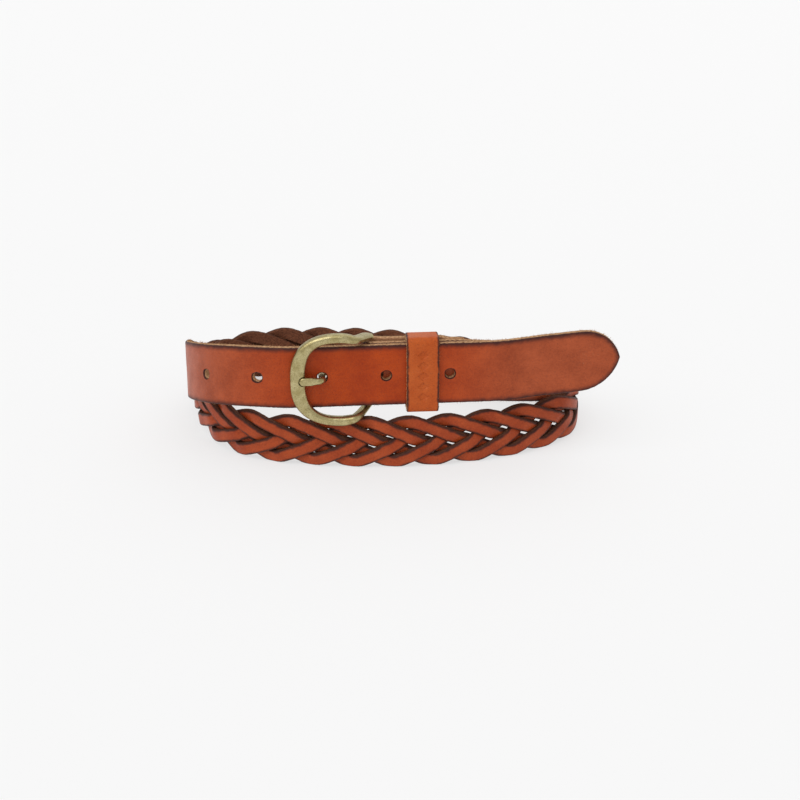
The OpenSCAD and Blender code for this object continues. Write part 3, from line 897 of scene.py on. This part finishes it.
brass, tree, metal = new_material("antique_brass")
flat = add_node(tree, "Attribute", attribute_name="flat").outputs["Vector"]
patina = noise_of(tree, flat, 0.22, 5, 0.65)
grit = noise_of(tree, flat, 2.6, 3, 0.7)
brushed = noise_of(tree, stretched(tree, flat, (0.5, 0.5, 2.6)), 1.5, 4, 0.6)
colour = blend_of(tree, ramp_of(tree, patina, 0.3, 0.7), rgb(196, 184, 138), rgb(166, 152, 104))
colour = blend_of(tree, ramp_of(tree, grit, 0.48, 0.66, 0, 0.6), colour, rgb(84, 72, 46))
hollow = add_node(tree, "NewGeometry").outputs["Pointiness"]
colour = blend_of(tree, ramp_of(tree, hollow, 0.40, 0.49, 0.75, 0.0), colour, rgb(60, 52, 34))
tree.links.new(colour, metal.inputs["Base Color"])
roughness = sum_of(tree, ramp_of(tree, patina, 0.3, 0.7, 0.24, 0.34),
                   ramp_of(tree, grit, 0.4, 0.7, 0.0, 0.12))
tree.links.new(roughness, metal.inputs["Roughness"])
metal.inputs["Metallic"].default_value = 1.0
brass_bump = add_node(tree, "Bump", {"Height": sum_of(tree, grit, brushed), "Distance": 0.00003,
                                     "Strength": 0.8})
tree.links.new(brass_bump.outputs["Normal"], metal.inputs["Normal"])
dress(buckle, brass)
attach(buckle, "frame")
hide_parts("buckle_frame")

# ---- Prong ----
# A brass rod, flattened at its tip to lie in the notch. It bends down through the strap's hole,
# runs back behind the strap and ends in an eye that is rolled round the heel bar.
PRONG_W, PRONG_TIP_X, PRONG_TIP_T, LEG_R = 4.0, -34.7, 2.5, 1.6
SHANK_Y, EYE_R, EYE_HOLE_R, EYE_START_X = -1.6, 3.31, 1.81, -2.4
prong_tip_y = notch_y - 0.1 - PRONG_TIP_T / 2
BEND_OUT, BEND_IN = 2.3, 1.7
prong_rows = [(-PRONG_REACH - BEND_OUT - PRONG_TIP_X, 0), (math.pi / 2 * BEND_OUT, 90),
              (SHANK_Y - prong_tip_y - BEND_OUT - BEND_IN, 0), (math.pi / 2 * BEND_IN, -90),
              (PRONG_REACH - BEND_IN + EYE_START_X, 0)]
prong_ends = row_ends(prong_rows, (0.0, 0.0, PRONG_TIP_X, prong_tip_y))
prong_l = prong_ends[-1][0]


def prong_place(p):
    _, h, x, y = point_on(prong_rows, prong_ends, min(max(p.x, 0.0), prong_l))
    return Vector((x - p.y * math.sin(h), y + p.y * math.cos(h), FRONT_Z + p.z))


prong = cylinder(28, 1, 1, rotation=(0, math.pi / 2, 0))
bpy.ops.object.mode_set(mode="EDIT")
prong_stations = steps(0, prong_l, 0.45)
for i in range(1, len(prong_stations) - 1):
    bpy.ops.mesh.select_all(action="SELECT")
    bpy.ops.mesh.bisect(plane_co=(-0.5 + prong_stations[i] / prong_l, 0, 0), plane_no=(1, 0, 0))
bpy.ops.object.mode_set(mode="OBJECT")
leg_from, leg_to = prong_ends[1][0], prong_ends[3][0]
for v in prong.data.vertices:
    s = (v.co.x + 0.5) * prong_l
    a = math.atan2(v.co.z, v.co.y)
    c, q = math.cos(a), math.sin(a)
    in_leg = ease((s - leg_from + 3.5) / 3.5) * ease((leg_to + 2 - s) / 2)
    power = 3.6 - 1.6 * in_leg
    r = (abs(c) ** power + abs(q) ** power) ** (-1 / power)
    half_w = PRONG_W / 2 + (LEG_R - PRONG_W / 2) * max(in_leg, ease((s - leg_from) / 3))
    half_t = PRONG_TIP_T / 2 + (LEG_R - PRONG_TIP_T / 2) * in_leg
    end = min(s / (PRONG_W / 2), 1.0)
    round_w = math.sqrt(max(1 - (1 - end) ** 2, 0.0))
    half_w *= 0.22 + 0.78 * round_w
    half_t *= 0.62 + 0.38 * math.sqrt(max(1 - (1 - min(s / 0.9, 1.0)) ** 2, 0.0))
    v.co = prong_place(Vector((s, r * c * half_t, r * q * half_w)))
eye = cylinder(48, EYE_R, PRONG_W, location=(0, 0, FRONT_Z))
bevel(eye, 0.5)
combine(prong, eye, "UNION")
combine(prong, cylinder(48, EYE_HOLE_R, 12, location=(0, 0, FRONT_Z)), "DIFFERENCE")
prong.name = prong.data.name = "brass_prong"
lay(prong, lambda p: p)
smooth(prong, 35)
dress(prong, brass)
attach(prong, "prong")
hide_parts("prong")

# ---- Keeper ----
# A loop of thinner, brighter leather that holds the free end down. Its cut edges are left rough,
# and a plain row of pressed lozenges decorates its front. Its ends meet inside the fold and are stapled.
KEEPER_X, KEEPER_W, KEEPER_T = 15.5, 15.0, 2.3
FRONT_SLACK, BACK_SLACK, EDGE_SLACK = 0.25, 0.15, 1.4
LOOP_FRONT_Y = STRAP_Y - LEATHER_T / 2 - FRONT_SLACK - KEEPER_T / 2
LOOP_BACK_Y = -(HEEL_D / 2 + FOLD_GAP) + BACK_SLACK + KEEPER_T / 2
LOOP_HALF, CORNER_R = STRAP_W / 2 + EDGE_SLACK + KEEPER_T / 2, 1.7
flat_run = 2 * (LOOP_HALF - CORNER_R)
side_run = LOOP_BACK_Y - LOOP_FRONT_Y - 2 * CORNER_R
corner_run = math.pi / 2 * CORNER_R
seam = 0.15
loop_rows = [(flat_run / 2 - seam, 0), (corner_run, 90), (side_run, 0), (corner_run, 90), (flat_run, 0),
             (corner_run, 90), (side_run, 0), (corner_run, 90), (flat_run / 2 - seam, 0)]
# Walked in the plane across the strap: first number towards +Y, second up
loop_ends = row_ends(loop_rows, (0.0, math.radians(90), LOOP_BACK_Y, seam))
loop_l = loop_ends[-1][0]
front_mid_s = loop_l / 2
FRONT_BOW, PRESS_DEPTH = 0.25, 0.6
LOZENGE_PITCH, LOZENGE_HALF, LOZENGES_EACH_WAY = 5.2, (2.1, 2.6), 2


def keeper_place(p):
    s = min(max(p.x, 0.0), loop_l)
    _, h, y, z = point_on(loop_rows, loop_ends, s)
    out = -p.y
    bow = FRONT_BOW * math.cos(min(abs(s - front_mid_s) / (flat_run / 2), 1.0) * math.pi / 2)
    nearest = round((s - front_mid_s) / LOZENGE_PITCH)
    if out > 0 and abs(nearest) <= LOZENGES_EACH_WAY:
        reach = abs(s - front_mid_s - nearest * LOZENGE_PITCH) / LOZENGE_HALF[0] + abs(p.z) / LOZENGE_HALF[1]
        bow -= PRESS_DEPTH * ease((1.15 - reach) / 0.3)
    return Vector((KEEPER_X + KEEPER_W / 2 - p.z, y + (out + bow) * math.sin(h),
                   FRONT_Z + z - (out + bow) * math.cos(h)))


keeper_depths = [0, 0.12, 0.32, 0.6, 1.0, 1.5, 2.0] + [2.5 + 0.4 * i for i in range(12)] + [7.5]
keeper = flat_blank("leather_keeper", steps(0, loop_l, 0.35), keeper_depths, lambda s: KEEPER_W / 2, KEEPER_T)
round_edges(keeper, lambda s, up: KEEPER_W / 2 - abs(up), KEEPER_T, 0.6, 0.35)
unevenness(keeper, 0.12, 0.08, 120.0)
keeper_roots = edge_roots(random.Random(121), 0, loop_l, 900, lambda s: KEEPER_W / 2, (-0.3, 0.9))
add_fibres(keeper, keeper_roots, 122, length=(0.3, 0.8))
lay(keeper, keeper_place)
smooth(keeper)
keeper_finish = leather_material(
    "bright_keeper_leather", rgb(178, 74, 18), rgb(200, 98, 40), BURNT, 1.1,
    rgb(222, 184, 140), rgb(140, 92, 58), rgb(198, 152, 112), rgb(140, 92, 62), KEEPER_T / 2)
dress(keeper, keeper_finish, strap_fibres)
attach(keeper, "keeper")
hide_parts("keeper")

# ---- Keeper staple ----
# Bent steel wire, pressed through the keeper's two ends where they meet behind the strap.
# It keeps its own plain mesh, because the fold hides it, and only gets a scratched steel finish.
steel, tree, wire = new_material("bright_steel_wire")
place = add_node(tree, "TexCoord").outputs["Object"]
scratches = noise_of(tree, stretched(tree, place, (4000.0, 4000.0, 900.0)), 1.0, 4, 0.6)
tree.links.new(blend_of(tree, ramp_of(tree, scratches, 0.3, 0.7), rgb(150, 148, 142), rgb(196, 194, 188)),
               wire.inputs["Base Color"])
tree.links.new(ramp_of(tree, scratches, 0.3, 0.7, 0.28, 0.42), wire.inputs["Roughness"])
wire.inputs["Metallic"].default_value = 1.0
dress(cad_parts["keeper_staple"], steel)
